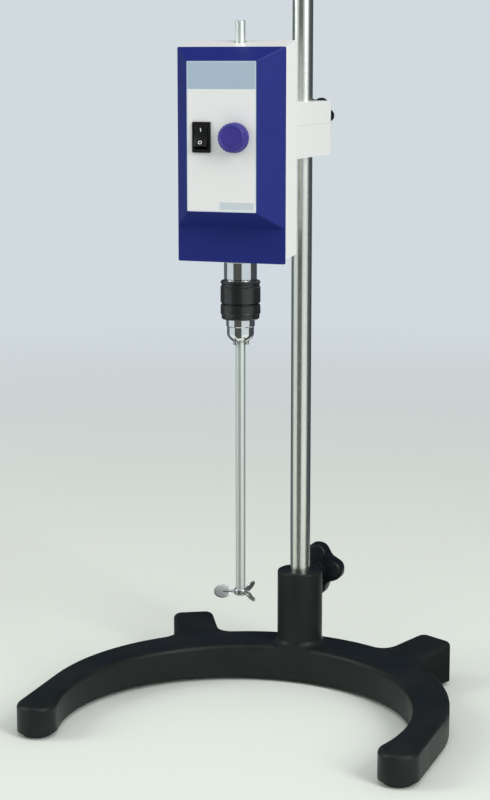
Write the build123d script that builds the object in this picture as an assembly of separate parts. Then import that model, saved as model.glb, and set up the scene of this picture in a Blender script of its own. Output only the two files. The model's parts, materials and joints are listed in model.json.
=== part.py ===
"""Overhead laboratory stirrer on a horseshoe stand, in millimetres.

Every function below works from the rod's axis (x = 0, y = 0) and the bench (z = 0).
The front of the stirrer looks along -Y. write_parts moves all pieces to the middle of the footprint.
"""
import os
from math import acos, atan2, cos, degrees, pi, radians, sin, sqrt, tan

from build123d import *

os.makedirs("parts", exist_ok=True)

# Fits
running = 0.05  # radial clearance of a shaft that turns or slides in its bore
gap = 0.3  # clearance between a moving piece and what it passes
thread_play = 0.05  # radial clearance of a clamp screw in its hole

# Horseshoe base
foot_x = 158.0  # centre of a leg's round end, beside the rod
foot_y = -221.0  # the same, in front of the rod
foot_r = 17.0  # radius of a leg's round end
waist = 45.1  # depth of the horseshoe in its middle, from the inner arc to the outer one
rear_reach = 24.0  # edge of the horseshoe behind the rod
pad_h = 4.0  # height of the rubber pads
rear_h = 34.4  # top of the casting at the rod, over the bench
tip_h = 28.5  # top of the casting at the leg ends
base_round = 4.0  # rounding of the casting's top edge
pad_r = 12.5
pad_sink = 1.5  # depth of a pad's seat in the casting

# Rear ears of the base
ear_at = 35.0  # where an ear leaves the outer arc, in degrees from the middle
ear_turn = 27.0  # an ear's direction, in degrees from straight back
ear_sunk = 15.4  # depth of an ear's root inside the outer arc
ear_l = 65.0
ear_root_w = 44.0
ear_end_w = 37.0
ear_round = 8.0
ear_blend_in = 14.0  # rounding between an ear and the boss side of the horseshoe
ear_blend_out = 18.0  # rounding between an ear and a leg
ear_rise = 5.5  # how far the top rises from the arc to an ear's end
ear_sweep = 80.0  # hollow rounding where that rise begins
ear_pad_inset = 17.0  # from an ear's end to its pad's centre

# Rod and its boss
rod_r = 9.0
rod_length = 750.0
rod_seat_z = 22.0  # bottom of the rod
rod_chamfer = 1.5
boss_r = 20.5
boss_top = 102.5
boss_round = 2.0
boss_flare = 6.0  # hollow rounding at the boss's foot
boss_pad_r = 9.5  # flat pad behind the boss, for the clamp screw
boss_pad_reach = 24.0

# Clamp knob of the base
base_clamp_z = 90.5
base_screw_r = 4.0
base_knob_start = 33.0  # where the knob's hub begins, behind the rod
base_knob = dict(lobes=4, core_r=16.0, lobe_r=9.5, lobe_at=15.0, hub_r=9.0, hub_h=11.0, head_h=18.0, blend=4.0)

# Head: places
spindle_offset = 154.0  # distance between the rod's axis and the spindle's axis
head_bottom = 400.0
chin_h = 28.0
surround_h = 142.0  # height of the raised surround's foot
head_w = 91.0
rim_ahead = 21.3  # cover's rim, ahead of the spindle's axis
surround_rise = 21.2  # face of the panel, ahead of the rim
rim_t = 2.0
cover_wall = 2.5
cover_round = 1.2

# Head: face plate and controls
panel_w = 58.0
panel_h = 117.0
panel_above_chin = 13.9  # lower edge of the panel, over the chin
panel_t = 1.5
panel_lip = 0.6
control_z = 500.0  # height of the switch and of the knob
switch_x = -16.4
switch_w = 15.2
switch_h = 24.0
switch_flange = 1.6
switch_depth = 17.0
rocker_w = 10.8
rocker_h = 17.6
rocker_tilt = 9.0  # degrees from level, one way and the other
rocker_r = 11.0
knob_x = 11.6
knob_r = 11.8
knob_h = 10.0
knob_flutes = 20
knob_shaft_r = 3.0

# Head: casing
casing_lift = 4.0  # casing's underside, over the cover's lower edge
casing_depth = 27.6
casing_wall = 3.0
casing_crown = 5.5  # rise of the casing's top from front to back
casing_round = 1.5
shaft_hole_r = 5.2

# Head: housing behind the casing
rear_bottom = 407.0
rear_top = 556.0
rear_step = 2.5  # from the casing's side to the housing's
rear_back_w = 50.0
rear_depth = 53.7
rear_wall = 2.5
rear_round = 4.0
vent_count = 7
vent_h = 3.0
vent_pitch = 7.5
vent_first_z = 478.0
vent_margin = 13.0  # from the vents' ends to the housing's front and back

# Mounting arm
arm_w = 40.0
arm_bottom = 478.0
arm_h = 47.0
arm_behind = 21.0  # arm's end behind the rod's axis
arm_round = 2.5
flange_w = 46.0
flange_over = 4.0
flange_t = 6.0
arm_screw_x = 14.0
arm_screw_inset = 7.0  # from the arm's top and bottom to its screws
arm_screw_r = 2.5
arm_screw_l = 16.0
arm_clamp_z = 511.5
arm_clamp_r = 3.0
arm_knob_start = 24.5
arm_knob = dict(lobes=6, core_r=13.0, lobe_r=3.6, lobe_at=13.5, hub_r=6.5, hub_h=5.0, head_h=13.0, blend=1.5)

# Chassis, bearings and drive
plate_t = 7.0
upper_plate_z = 531.0
plate_play = 0.3
post_r = 3.0
post_inset = 1.2  # from the lower plate's edge to its posts
post_ahead = 13.0  # front posts, ahead of the spindle's axis
post_behind = 18.0  # rear posts, behind the spindle's axis
bearing_r = 11.5
spindle_r = 6.5
spindle_over_gear = 2.0
gear_module = 1.0
wheel_teeth = 54
pinion_teeth = 18
gear_width = 7.0
gear_over_plate = 3.0
mesh_play = 0.10  # extra distance between the two axes
flank_play = 0.12  # tooth thickness taken off at the pitch circle
motor_r = 21.0
motor_h = 74.0
motor_shaft_r = 3.0

# Speed control board
board_t = 1.6
board_ahead = 5.5  # from the panel's backing wall to the board
board_w = 51.0
board_bottom = 458.0
board_h = 72.0
board_post_r = 2.5
board_post_inset = 4.5
pot_r = 8.0
capacitor_r = 5.0
capacitor_l = 9.0
capacitor_pitch = 16.0
heat_sink_w = 14.0
heat_sink_h = 18.0
heat_sink_edge = 1.5  # from the board's side to the heat sink
fin_count = 4
fin_t = 2.0

# Cover screws and cable gland
cover_screw_play = 0.4  # between a screw's head and the housing's side
cover_screw_r = 1.5
cover_screw_head_r = 3.0
cover_screw_head_h = 1.8
cover_screw_inset = 9.0
cover_post_r = 3.5
gland_x = -13.5  # beside the rod, so that the lead passes it
gland_z = 440.0
gland_bore_r = 3.6
gland_neck_r = 5.1
gland_nut_r = 7.0
gland_nut_h = 6.0
gland_boot_l = 18.0
gland_tip_r = 5.2

# Chuck
collar_r = 13.4
collar_h = 14.5
sleeve_r = 16.3
holding_h = 18.5  # upper, fixed sleeve
turning_h = 12.3  # lower sleeve, which opens the jaws
sleeve_groove = 0.8
sleeve_bore_r = 12.6
sleeve_flutes = 20
flute_r = 1.3
nose_h = 20.5
nose_r = 11.0
nose_tip_r = 7.2
nose_taper = 12.0
jaw_count = 3
jaw_r = 2.2
jaw_l = 14.0
jaw_tilt = 14.0
jaw_foot = 4.4  # jaw's axis at its lower end, from the shaft's axis

# Stirring shaft and propeller
shaft_r = 4.0
shaft_bottom = 121.0
shaft_top = 591.0
shaft_chamfer = 0.8
hub_r = 5.6
hub_h = 6.0
hub_cap = 1.6  # wall under the shaft's end
blade_count = 3
blade_reach = 22.5
blade_l = 14.0
blade_chord = 11.4
blade_t = 1.2
blade_pitch = 60.0  # degrees from level
blade_turn = 200.5  # where the first blade points
blade_arm_r = 1.3

# Places that follow from the sizes above
base_knob_end = base_knob_start + base_knob["hub_h"] + base_knob["head_h"]
stand_y = (foot_r - foot_y - base_knob_end) / 2  # from the middle of the footprint back to the rod
outer_r = foot_x + foot_r
outer_y = rear_reach - outer_r
slope = atan2(rear_h - tip_h, -foot_y)
spindle_y = -spindle_offset
rim_y = spindle_y - rim_ahead
panel_y = rim_y - surround_rise
casing_y = rim_y + rim_t
casing_back = casing_y + casing_depth
rear_y = casing_back + rear_depth
chin_top = head_bottom + chin_h
head_top = chin_top + surround_h
panel_bottom = chin_top + panel_above_chin
panel_top = panel_bottom + panel_h
casing_bottom = head_bottom + casing_lift
lower_plate_z = rear_bottom + rear_wall + gap
rear_front_w = head_w - 2 * rear_step
rear_lean = (rear_front_w - rear_back_w) / 2 / rear_depth
rear_room_half = rear_front_w / 2 - rear_wall * sqrt(1 + rear_lean**2)
cover_screw_x = rear_room_half - cover_screw_head_r - cover_screw_play
lower_plate_half = cover_screw_x - cover_post_r - gap
post_x = lower_plate_half - post_r - post_inset
gear_z = upper_plate_z + plate_t + gear_over_plate
motor_y = spindle_y + gear_module * (wheel_teeth + pinion_teeth) / 2 + mesh_play
panel_back = panel_y + panel_t + cover_wall
board_y = panel_back + board_ahead
spindle_top = gear_z + gear_width + spindle_over_gear
collar_top = head_bottom - 1.0
sleeve_top = collar_top - collar_h - sleeve_groove
turning_top = sleeve_top - holding_h - sleeve_groove
nose_top = turning_top - turning_h
nose_bottom = nose_top - nose_h
arm_top = arm_bottom + arm_h


def block(x, y, z):
    """A box between two corners, given as three pairs."""
    size = [high - low for low, high in (x, y, z)]
    middle = [(low + high) / 2 for low, high in (x, y, z)]
    return Pos(*middle) * Box(*size)


def post(radius, z_low, z_high, x=0.0, y=0.0):
    """An upright cylinder."""
    return Pos(x, y, (z_low + z_high) / 2) * Cylinder(radius, z_high - z_low)


def pin_y(radius, y_low, y_high, x=0.0, z=0.0):
    """A cylinder that lies along Y."""
    return Pos(x, (y_low + y_high) / 2, z) * Rot(90, 0, 0) * Cylinder(radius, y_high - y_low)


def both_sides(piece):
    """A piece and its mirror image across the middle plane."""
    return piece + mirror(piece, about=Plane.YZ)


def front_sheet(y, width, z_low, z_high):
    """An upright rectangle that faces the front."""
    return Plane.XZ.offset(-y) * Pos(0, (z_low + z_high) / 2) * Rectangle(width, z_high - z_low)


# The stand

def horseshoe_plan():
    """Half of the horseshoe from tangent arcs, then its mirror image."""
    reach = rear_reach - waist + foot_r - foot_y
    inner_y = foot_y + (reach**2 - foot_x**2) / (2 * reach)
    inner_r = rear_reach - waist - inner_y
    tangent = degrees(atan2(inner_y - foot_y, foot_x))
    outer = CenterArc((0, outer_y), outer_r, 90, -90)
    side = Line((outer_r, outer_y), (outer_r, foot_y))
    tip = CenterArc((foot_x, foot_y), foot_r, 0, -180 - tangent)
    inner = CenterArc((0, inner_y), inner_r, -tangent, 90 + tangent)
    middle = Line((0, inner_y + inner_r), (0, rear_reach))
    half = make_face([outer, side, tip, inner, middle])
    return half + mirror(half, about=Plane.YZ)


def on_ear(side, along):
    """A point on an ear's middle line, at a distance from its root."""
    root_r = outer_r - ear_sunk
    x = root_r * sin(radians(ear_at)) + along * sin(radians(ear_turn))
    y = outer_y + root_r * cos(radians(ear_at)) + along * cos(radians(ear_turn))
    return side * x, y


def ear_plan():
    """A tapered lug with a rounded end, which carries a rear pad."""
    root, end = ear_root_w / 2, ear_end_w / 2
    ear = make_face(Polyline((-root, 0), (root, 0), (end, ear_l), (-end, ear_l), close=True))
    ear = fillet(ear.vertices().group_by(Axis.Y)[-1], ear_round)
    return Pos(*on_ear(1, 0)) * Rot(0, 0, -ear_turn) * ear


def ear_corners(plan):
    """Corners on the outer arc at the ears, from the middle outwards."""
    corners = [v for v in plan.vertices() if v.Y > foot_y / 4
               and abs((Vector(v.X, v.Y) - Vector(0, outer_y)).length - outer_r) < 0.01]
    return sorted(corners, key=lambda v: abs(v.X))


def base_plan():
    """Horseshoe and ears in one outline, with rounded inside corners."""
    plan = horseshoe_plan() + ear_plan() + mirror(ear_plan(), about=Plane.YZ)
    plan = fillet(ear_corners(plan)[:2], ear_blend_in)
    return fillet(ear_corners(plan)[-2:], ear_blend_out)


def top_place(x, y):
    """Frame on the casting's top, which falls gently towards the leg ends."""
    return Pos(x, y, rear_h + y * tan(slope)) * Rot(degrees(slope), 0, 0)


def ear_top(side):
    """Frame on an ear's top, which rises from the outer arc."""
    rise = degrees(atan2(ear_rise, ear_l - ear_sunk))
    return top_place(*on_ear(side, ear_sunk)) * Rot(0, 0, -side * ear_turn) * Rot(rise, 0, 0)


def all_above(place):
    return place * Pos(0, 0, rear_h) * Box(8 * foot_x, 8 * foot_x, 2 * rear_h)


def top_cut():
    """Everything over the casting's top and over the tops of its ears."""
    return all_above(top_place(0, 0)) & all_above(ear_top(1)) & all_above(ear_top(-1))


def pad_places():
    """The four places where the casting stands on a rubber pad."""
    rear = on_ear(1, ear_l - ear_pad_inset)
    return [(side * x, y) for x, y in ((foot_x, foot_y), rear) for side in (-1, 1)]


def boss():
    """Upright post for the rod, flared at its foot inside the casting's outline."""
    body = post(boss_r, pad_h, boss_top)
    body = fillet(body.edges().sort_by(Axis.Z)[-1], boss_round)
    flare_r = boss_r + boss_flare
    flare = post(flare_r, pad_h, rear_h + boss_flare) - Pos(0, 0, rear_h + boss_flare) * Torus(flare_r, boss_flare)
    return body + (flare & extrude(base_plan(), boss_top))


def base_casting():
    body = extrude(base_plan(), rear_h + foot_r)
    body = Pos(0, 0, pad_h) * body - top_cut()
    *ears, main = body.faces().filter_by(lambda f: f.normal_at().Z > 0.9).sort_by(lambda f: f.area)
    body = fillet([e for e in main.edges() if any(e in ear.edges() for ear in ears)], ear_sweep)
    walls = body.faces().filter_by(lambda f: abs(f.normal_at().Z) < 0.1)
    body = fillet(walls.edges().filter_by(lambda e: e.center().Z > tip_h - 1), base_round)
    body += boss()
    body += pin_y(boss_pad_r, 0, boss_pad_reach, z=base_clamp_z)
    body -= post(rod_r + running, rod_seat_z, boss_top + 1)
    body -= pin_y(base_screw_r + thread_play, 0, boss_pad_reach + 1, z=base_clamp_z)
    for x, y in pad_places():
        body -= post(pad_r, 0, pad_h + pad_sink, x, y)
    return body


def base_feet():
    pad = post(pad_r, 0, pad_h + pad_sink)
    pad = chamfer(pad.edges().sort_by(Axis.Z)[0], 0.8)
    return Compound([Pos(x, y, 0) * pad for x, y in pad_places()])


def stand_rod():
    rod = post(rod_r, rod_seat_z + gap / 3, rod_seat_z + rod_length)
    return chamfer(rod.edges().group_by(Axis.Z)[0] + rod.edges().group_by(Axis.Z)[-1], rod_chamfer)


# Clamp knobs

def star_knob(lobes, core_r, lobe_r, lobe_at, hub_r, hub_h, head_h, blend):
    """A moulded star grip on a round hub, along +Z from its seat."""
    plan = Sketch() + Circle(core_r)
    for turn in range(lobes):
        plan += Rot(0, 0, 360 * turn / lobes) * Pos(lobe_at, 0) * Circle(lobe_r)
    plan = fillet(plan.vertices(), blend)
    head = extrude(plan, head_h)
    head = fillet(head.edges().group_by(Axis.Z)[-1], blend / 2)
    hub = Cone(hub_r, core_r * 0.8, hub_h, align=(Align.CENTER, Align.CENTER, Align.MIN))
    return hub + Pos(0, 0, hub_h) * head


def clamp_knob(sizes, start, z, screw_r, screw_end):
    """A star knob behind its clamp, with the hole that holds its screw."""
    knob = Pos(0, start, z) * Rot(-90, 0, 0) * star_knob(**sizes)
    return knob - pin_y(screw_r, start - 1, screw_end, z=z)


def clamp_screw(radius, end, z):
    """A screw whose point stops just short of the rod."""
    start = rod_r + gap
    point = 0.35 * radius
    shank = pin_y(radius, start + point, end, z=z)
    tip = Pos(0, start + point / 2, z) * Rot(90, 0, 0) * Cone(radius, 0.65 * radius, point)
    return shank + tip


def screw_end(sizes, start):
    """How far a clamp's screw reaches into its knob."""
    return start + sizes["hub_h"] + sizes["head_h"] / 2


# The head's covers

def surround(width, z_low, z_high, top_width, top_low, top_high, back, front):
    """A block that narrows from the rim to the panel, like a raised picture frame."""
    return loft([front_sheet(back, width, z_low, z_high), front_sheet(front, top_width, top_low, top_high)])


def cover_screw_z():
    """Heights of the lower and the upper pair of cover screws."""
    return casing_bottom + cover_screw_inset, head_top - cover_screw_inset


def cover_posts():
    """Pillars for the cover's screws: the lower pair starts on the chin, the upper pair on the slopes."""
    low, high = cover_screw_z()
    end = casing_back - casing_wall
    pair = pin_y(cover_post_r, rim_y + rim_t, end, cover_screw_x, low)
    pair += pin_y(cover_post_r, rim_y - 3 * rim_t, end, cover_screw_x, high)
    return both_sides(pair)


def front_cover():
    """Blue moulding: flat chin, thin rim and raised surround with a recess for the panel."""
    slope_wall = 1.3 * cover_wall
    half_lip = 2 * panel_lip
    flat = (panel_w + half_lip, panel_bottom - panel_lip, panel_top + panel_lip)
    body = surround(head_w, chin_top, head_top, *flat, rim_y, panel_y)
    body = fillet(body.edges().filter_by(lambda e: e.center().Y < rim_y - 1), cover_round)
    rim = block((-head_w / 2, head_w / 2), (rim_y, rim_y + rim_t), (head_bottom, head_top))
    rim = fillet(rim.edges().filter_by(Axis.Y), cover_round)
    body += rim
    hollow = surround(head_w - 2 * slope_wall, chin_top + slope_wall, head_top - slope_wall,
                      flat[0] - 2 * slope_wall, flat[1] + slope_wall, flat[2] - slope_wall,
                      rim_y + rim_t, panel_y + rim_t)
    hollow -= block((-head_w, head_w), (panel_y - 5, panel_back), (head_bottom, head_top))
    body -= hollow
    body -= block((-panel_w / 2, panel_w / 2), (panel_y - 1, panel_y + panel_t), (panel_bottom, panel_top))
    body -= switch_opening()
    body -= pin_y(knob_shaft_r + 1, panel_y - 1, panel_back + 1, knob_x, control_z)
    body += cover_posts() + board_posts()
    for z in cover_screw_z():
        body -= both_sides(pin_y(cover_screw_r, rim_y + rim_t, casing_back, cover_screw_x, z))
    return body


def front_panel():
    plate = block((-panel_w / 2, panel_w / 2), (panel_y, panel_y + panel_t), (panel_bottom, panel_top))
    plate = fillet(plate.edges().filter_by(Axis.Y), 0.8)
    return plate - switch_opening() - pin_y(knob_shaft_r + 1, panel_y - 1, panel_back, knob_x, control_z)


def casing():
    """White frame: the side walls, the crowned top and the back wall with its window."""
    bottom = casing_bottom
    outline = Polyline((casing_y, bottom), (casing_back, bottom + casing_wall / 2),
                       (casing_back, head_top + casing_crown), (casing_y, head_top), close=True)
    body = extrude(Plane.YZ * make_face(outline), head_w / 2, both=True)
    body = fillet(body.edges().filter_by(lambda e: e.center().Y > casing_back - 0.1), casing_round)
    inside = head_w / 2 - casing_wall
    body -= block((-inside, inside), (casing_y - 1, casing_back - casing_wall),
                  (bottom + casing_wall, head_top - casing_wall))
    body -= rear_hollow(casing_back - casing_wall - 1)
    body -= post(shaft_hole_r, head_top - 2 * casing_wall, head_top + 2 * casing_crown, y=spindle_y)
    body -= post(spindle_r + gap, bottom - 1, lower_plate_z + 1, y=spindle_y)
    for z in cover_screw_z():
        body -= both_sides(pin_y(cover_screw_r, casing_back - 2 * casing_wall, casing_back + 1, cover_screw_x, z))
    return body


# The housing behind the casing

def trapezoid(front_w, back_w, front, back):
    """Plan of the rear housing, wide at the casing and narrow at the arm."""
    return make_face(Polyline((-front_w / 2, front), (front_w / 2, front),
                              (back_w / 2, back), (-back_w / 2, back), close=True))


def rear_room(front, play=0.0):
    """Plan of the hollow behind the casing, carried forward to a given depth."""
    half = rear_room_half - play
    back = rear_y - rear_wall - play
    back_half = half - rear_lean * (back - casing_back)
    plan = trapezoid(2 * half, 2 * back_half, casing_back, back)
    return plan + Pos(0, (front + casing_back) / 2) * Rectangle(2 * half, casing_back - front)


def rear_hollow(front):
    room = extrude(rear_room(front), rear_top - rear_bottom - 2 * rear_wall)
    return Pos(0, 0, rear_bottom + rear_wall) * room


def rear_cover():
    """White housing round the motor, with vents in its sides."""
    plan = trapezoid(rear_front_w, rear_back_w, casing_back, rear_y)
    plan = fillet(plan.vertices().group_by(Axis.Y)[-1], rear_round)
    body = Pos(0, 0, rear_bottom) * extrude(plan, rear_top - rear_bottom)
    ends = body.faces().filter_by(Axis.Z).edges().filter_by(lambda e: e.center().Y > casing_back + 1)
    body = fillet(ends, rear_wall * 0.8)
    body -= rear_hollow(casing_back - 1)
    for row in range(vent_count):
        z = vent_first_z + vent_pitch * row
        body -= block((-head_w, head_w), (casing_back + vent_margin, rear_y - vent_margin), (z, z + vent_h))
    for x, z in arm_screw_places():
        body -= pin_y(arm_screw_r, rear_y - 2 * rear_wall, rear_y + 1, x, z)
    return body - pin_y(gland_neck_r, rear_y - 2 * rear_wall, rear_y + 1, gland_x, gland_z)


def cable_gland():
    """Strain relief with a tapered boot, open for the lead."""
    neck = pin_y(gland_neck_r, rear_y - rear_wall, rear_y, gland_x, gland_z)
    nut = Plane.XZ.offset(-rear_y) * Pos(gland_x, gland_z) * RegularPolygon(gland_nut_r, 6)
    nut = extrude(nut, -gland_nut_h)
    boot = Cone(gland_nut_r * 0.8, gland_tip_r, gland_boot_l, align=(Align.CENTER, Align.CENTER, Align.MIN))
    boot = Pos(gland_x, rear_y + gland_nut_h, gland_z) * Rot(-90, 0, 0) * boot
    end = rear_y + gland_nut_h + gland_boot_l
    return neck + nut + boot - pin_y(gland_bore_r, rear_y - 2 * rear_wall, end + 1, gland_x, gland_z)


# The arm that holds the head on the rod

def arm_screw_places():
    heights = (arm_bottom + arm_screw_inset, arm_top - arm_screw_inset)
    return [(x, z) for z in heights for x in (-arm_screw_x, arm_screw_x)]


def mounting_arm():
    body = block((-arm_w / 2, arm_w / 2), (rear_y, arm_behind), (arm_bottom, arm_top))
    body = fillet(body.edges().filter_by(Axis.Z).group_by(Axis.Y)[-1], arm_round)
    body += block((-flange_w / 2, flange_w / 2), (rear_y, rear_y + flange_t),
                  (arm_bottom - flange_over, arm_top + flange_over))
    body -= post(rod_r + running, arm_bottom - 1, arm_top + 1)
    body -= pin_y(arm_clamp_r + thread_play, 0, arm_behind + 1, z=arm_clamp_z)
    for x, z in arm_screw_places():
        body -= pin_y(arm_screw_r, rear_y - 1, rear_y - rear_wall + arm_screw_l, x, z)
    return body


def arm_screws():
    """Cap screws from inside the housing into the arm."""
    start = rear_y - rear_wall
    screws = []
    for x, z in arm_screw_places():
        head = pin_y(1.6 * arm_screw_r, start - arm_screw_r, start, x, z)
        screws.append(head + pin_y(arm_screw_r, start, start + arm_screw_l - 0.5, x, z))
    return Compound(screws)


def cover_screws():
    """Screws from behind the casing into the cover's pillars."""
    screws = []
    for z in cover_screw_z():
        for x in (-cover_screw_x, cover_screw_x):
            head = pin_y(cover_screw_head_r, casing_back, casing_back + cover_screw_head_h, x, z)
            screws.append(head + pin_y(cover_screw_r, casing_y + 1, casing_back, x, z))
    return Compound(screws)


# Chassis and drive

def plate_plan():
    """Outline of a chassis plate, which fills the room between the covers."""
    return rear_room(casing_y + plate_play, plate_play)


def chassis_upper_plate():
    body = Pos(0, 0, upper_plate_z) * extrude(plate_plan(), plate_t)
    body -= post(bearing_r, upper_plate_z - 1, upper_plate_z + plate_t + 1, y=spindle_y)
    return body - post(motor_shaft_r + 1, upper_plate_z - 1, upper_plate_z + plate_t + 1, y=motor_y)


def chassis_lower_plate():
    """Lower plate, narrow enough to pass between the cover's pillars."""
    plan = plate_plan() & Pos(0, spindle_y) * Rectangle(2 * lower_plate_half, 2 * spindle_offset)
    body = Pos(0, 0, lower_plate_z) * extrude(plan, plate_t)
    return body - post(bearing_r, lower_plate_z - 1, lower_plate_z + plate_t + 1, y=spindle_y)


def chassis_posts():
    """Four posts round the spindle, between the two plates."""
    low = lower_plate_z + plate_t
    depths = (spindle_y - post_ahead, spindle_y + post_behind)
    return Compound([post(post_r, low, upper_plate_z, side * post_x, y) for y in depths for side in (-1, 1)])


def bearing(z):
    """A ball bearing as one ring with a shallow groove between its races."""
    ring = post(bearing_r, z, z + plate_t, y=spindle_y)
    middle = (bearing_r + spindle_r) / 2
    groove = post(middle + 1, z + plate_t - 0.6, z + plate_t + 1, y=spindle_y)
    groove -= post(middle - 1, z, z + plate_t + 2, y=spindle_y)
    return ring - groove - post(spindle_r + running, z - 1, z + plate_t + 1, y=spindle_y)


def involute_turn(base_r, radius):
    """Angle that an involute has turned through at a radius."""
    angle = acos(base_r / radius)
    return tan(angle) - angle


def gear(teeth, bore_r, first_tooth):
    """A spur gear with involute flanks, its first tooth's centre at a given angle."""
    pitch_r = gear_module * teeth / 2
    base_r = pitch_r * cos(radians(20))
    root_r = pitch_r - 1.25 * gear_module
    tip_r = pitch_r + 0.95 * gear_module
    half = pi / (2 * teeth) - flank_play / (2 * pitch_r) + involute_turn(base_r, pitch_r)
    start = max(base_r, root_r)
    radii = [start + (tip_r - start) * step / 4 for step in range(5)]
    flank = [(r, half - involute_turn(base_r, r)) for r in radii]
    flank = [(root_r - 0.2, flank[0][1])] + flank
    edge = [(r * cos(a), r * sin(a)) for r, a in flank]
    tooth = make_face(Polyline(*edge, *[(x, -y) for x, y in reversed(edge)], close=True))
    teeth_faces = [Rot(0, 0, first_tooth + 360 * turn / teeth) * tooth for turn in range(teeth)]
    plan = Sketch() + [Circle(root_r), *teeth_faces]
    return extrude(plan - Circle(bore_r), gear_width)


def drive_gear():
    wheel = gear(wheel_teeth, spindle_r, 90)
    wheel_r = gear_module * wheel_teeth / 2
    for turn in range(6):
        hole_at = (spindle_r + wheel_r) / 2
        wheel -= Rot(0, 0, 60 * turn) * Pos(hole_at, 0, 0) * Cylinder(wheel_r / 7, 3 * gear_width)
    return Pos(0, spindle_y, gear_z) * wheel


def motor_pinion():
    return Pos(0, motor_y, gear_z) * gear(pinion_teeth, motor_shaft_r, 0)


def motor_body():
    """The motor's can, screwed under the upper plate, with a stepped lower end."""
    low = upper_plate_z - motor_h
    can = post(motor_r, low + 6, upper_plate_z, y=motor_y)
    can = chamfer(can.edges().group_by(Axis.Z)[0], 1.5)
    can += post(motor_r * 0.45, low, low + 6, y=motor_y)
    return can - post(motor_shaft_r + running, low + 10, upper_plate_z + 1, y=motor_y)


def motor_shaft():
    return post(motor_shaft_r, upper_plate_z - motor_h + 12, gear_z + gear_width + 2, y=motor_y)


def spindle():
    """Hollow spindle: the stirring shaft passes right through it."""
    body = post(spindle_r, collar_top - collar_h / 2, spindle_top, y=spindle_y)
    body += post(spindle_r + 2, lower_plate_z + plate_t + gap, lower_plate_z + plate_t + 3, y=spindle_y)
    return body - post(shaft_r + running, collar_top - collar_h, spindle_top + 1, y=spindle_y)


# Controls

def switch_opening():
    return block((switch_x - switch_w / 2 + 1, switch_x + switch_w / 2 - 1), (panel_y - 1, panel_back + 1),
                 (control_z - switch_h / 2 + 1, control_z + switch_h / 2 - 1))


def switch_body():
    """Rocker switch: flange on the panel and a box behind it, open at the front."""
    flange = block((switch_x - switch_w / 2, switch_x + switch_w / 2), (panel_y - switch_flange, panel_y),
                   (control_z - switch_h / 2, control_z + switch_h / 2))
    flange = fillet(flange.edges().filter_by(Axis.Y), 1.0)
    half_w = switch_w / 2 - 1 - gap / 2
    half_h = switch_h / 2 - 1 - gap / 2
    box = block((switch_x - half_w, switch_x + half_w), (panel_y, panel_y + switch_depth),
                (control_z - half_h, control_z + half_h))
    half_w = rocker_w / 2 + gap
    half_h = rocker_h / 2 + gap
    room = block((switch_x - half_w, switch_x + half_w), (panel_y - switch_flange - 1, panel_y + 9),
                 (control_z - half_h, control_z + half_h))
    return flange + box - room


def switch_rocker():
    """Rocker with two slanted faces, at rest with its upper half pressed in."""
    depth = 5.0
    pivot_y = panel_y + 3.0
    face = Polyline((0, -rocker_h / 2 * 0.93), (-depth - 2.6, -rocker_h / 2 * 0.93), (-depth, 0),
                    (-depth - 2.6, rocker_h / 2 * 0.93), (0, rocker_h / 2 * 0.93), close=True)
    body = extrude(Plane.YZ * make_face(face), rocker_w / 2, both=True)
    body = fillet(body.edges().filter_by(Axis.X).group_by(Axis.Y)[0], 0.6)
    return Pos(switch_x, pivot_y, control_z) * Rot(-rocker_tilt, 0, 0) * body


def speed_knob():
    """Round knob with a fluted skirt and a pointer groove."""
    knob = Cylinder(knob_r, knob_h, align=(Align.CENTER, Align.CENTER, Align.MIN))
    knob = fillet(knob.edges().group_by(Axis.Z)[-1], 1.4)
    for turn in range(knob_flutes):
        flute = Pos(knob_r + 0.5, 0, 0) * Cylinder(0.9, 2 * (knob_h - 2.5))
        knob -= Rot(0, 0, 360 * (turn + 0.5) / knob_flutes) * flute
    knob -= Pos(0, knob_r * 0.62, knob_h) * Box(1.2, knob_r * 0.55, 0.8)
    knob -= Cylinder(knob_shaft_r, 2 * (knob_h - 3))
    return Pos(knob_x, panel_y - gap, control_z) * Rot(90, 0, 0) * knob


def knob_shaft():
    return pin_y(knob_shaft_r, panel_y - knob_h + 3, board_y - 2, knob_x, control_z)


def potentiometer():
    """Round control body between the panel's backing wall and the board."""
    body = pin_y(pot_r, panel_back + gap, board_y, knob_x, control_z)
    return body - pin_y(knob_shaft_r + running, panel_back, board_y - 1.5, knob_x, control_z)


def board_posts():
    """Pillars of the cover that hold the circuit board."""
    x = board_w / 2 - board_post_inset
    posts = pin_y(board_post_r, panel_back, board_y, x, board_bottom + board_post_inset)
    posts += pin_y(board_post_r, panel_back, board_y, x, board_bottom + board_h - board_post_inset)
    return both_sides(posts)


def circuit_board():
    body = block((-board_w / 2, board_w / 2), (board_y, board_y + board_t), (board_bottom, board_bottom + board_h))
    half_w = switch_w / 2 + gap
    half_h = switch_h / 2 + gap
    return body - block((switch_x - half_w, switch_x + half_w), (board_y - 1, board_y + board_t + 1),
                        (control_z - half_h, control_z + half_h))


def board_parts():
    """Capacitors and a finned heat sink on the board's inner face."""
    back = board_y + board_t
    low = board_bottom + 2 * board_post_inset
    right = board_w / 2 - heat_sink_edge
    left = right - heat_sink_w
    first = 2 * capacitor_r - board_w / 2
    pieces = [pin_y(capacitor_r, back, back + capacitor_l, x, low) for x in (first, first + capacitor_pitch)]
    sink = block((left, right), (back, back + fin_t), (low, low + heat_sink_h))
    for fin in range(fin_count):
        x = left + fin * (heat_sink_w - fin_t) / (fin_count - 1)
        sink += block((x, x + fin_t), (back, back + capacitor_l), (low, low + heat_sink_h))
    return Compound([*pieces, sink])


# Chuck, shaft and propeller

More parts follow.
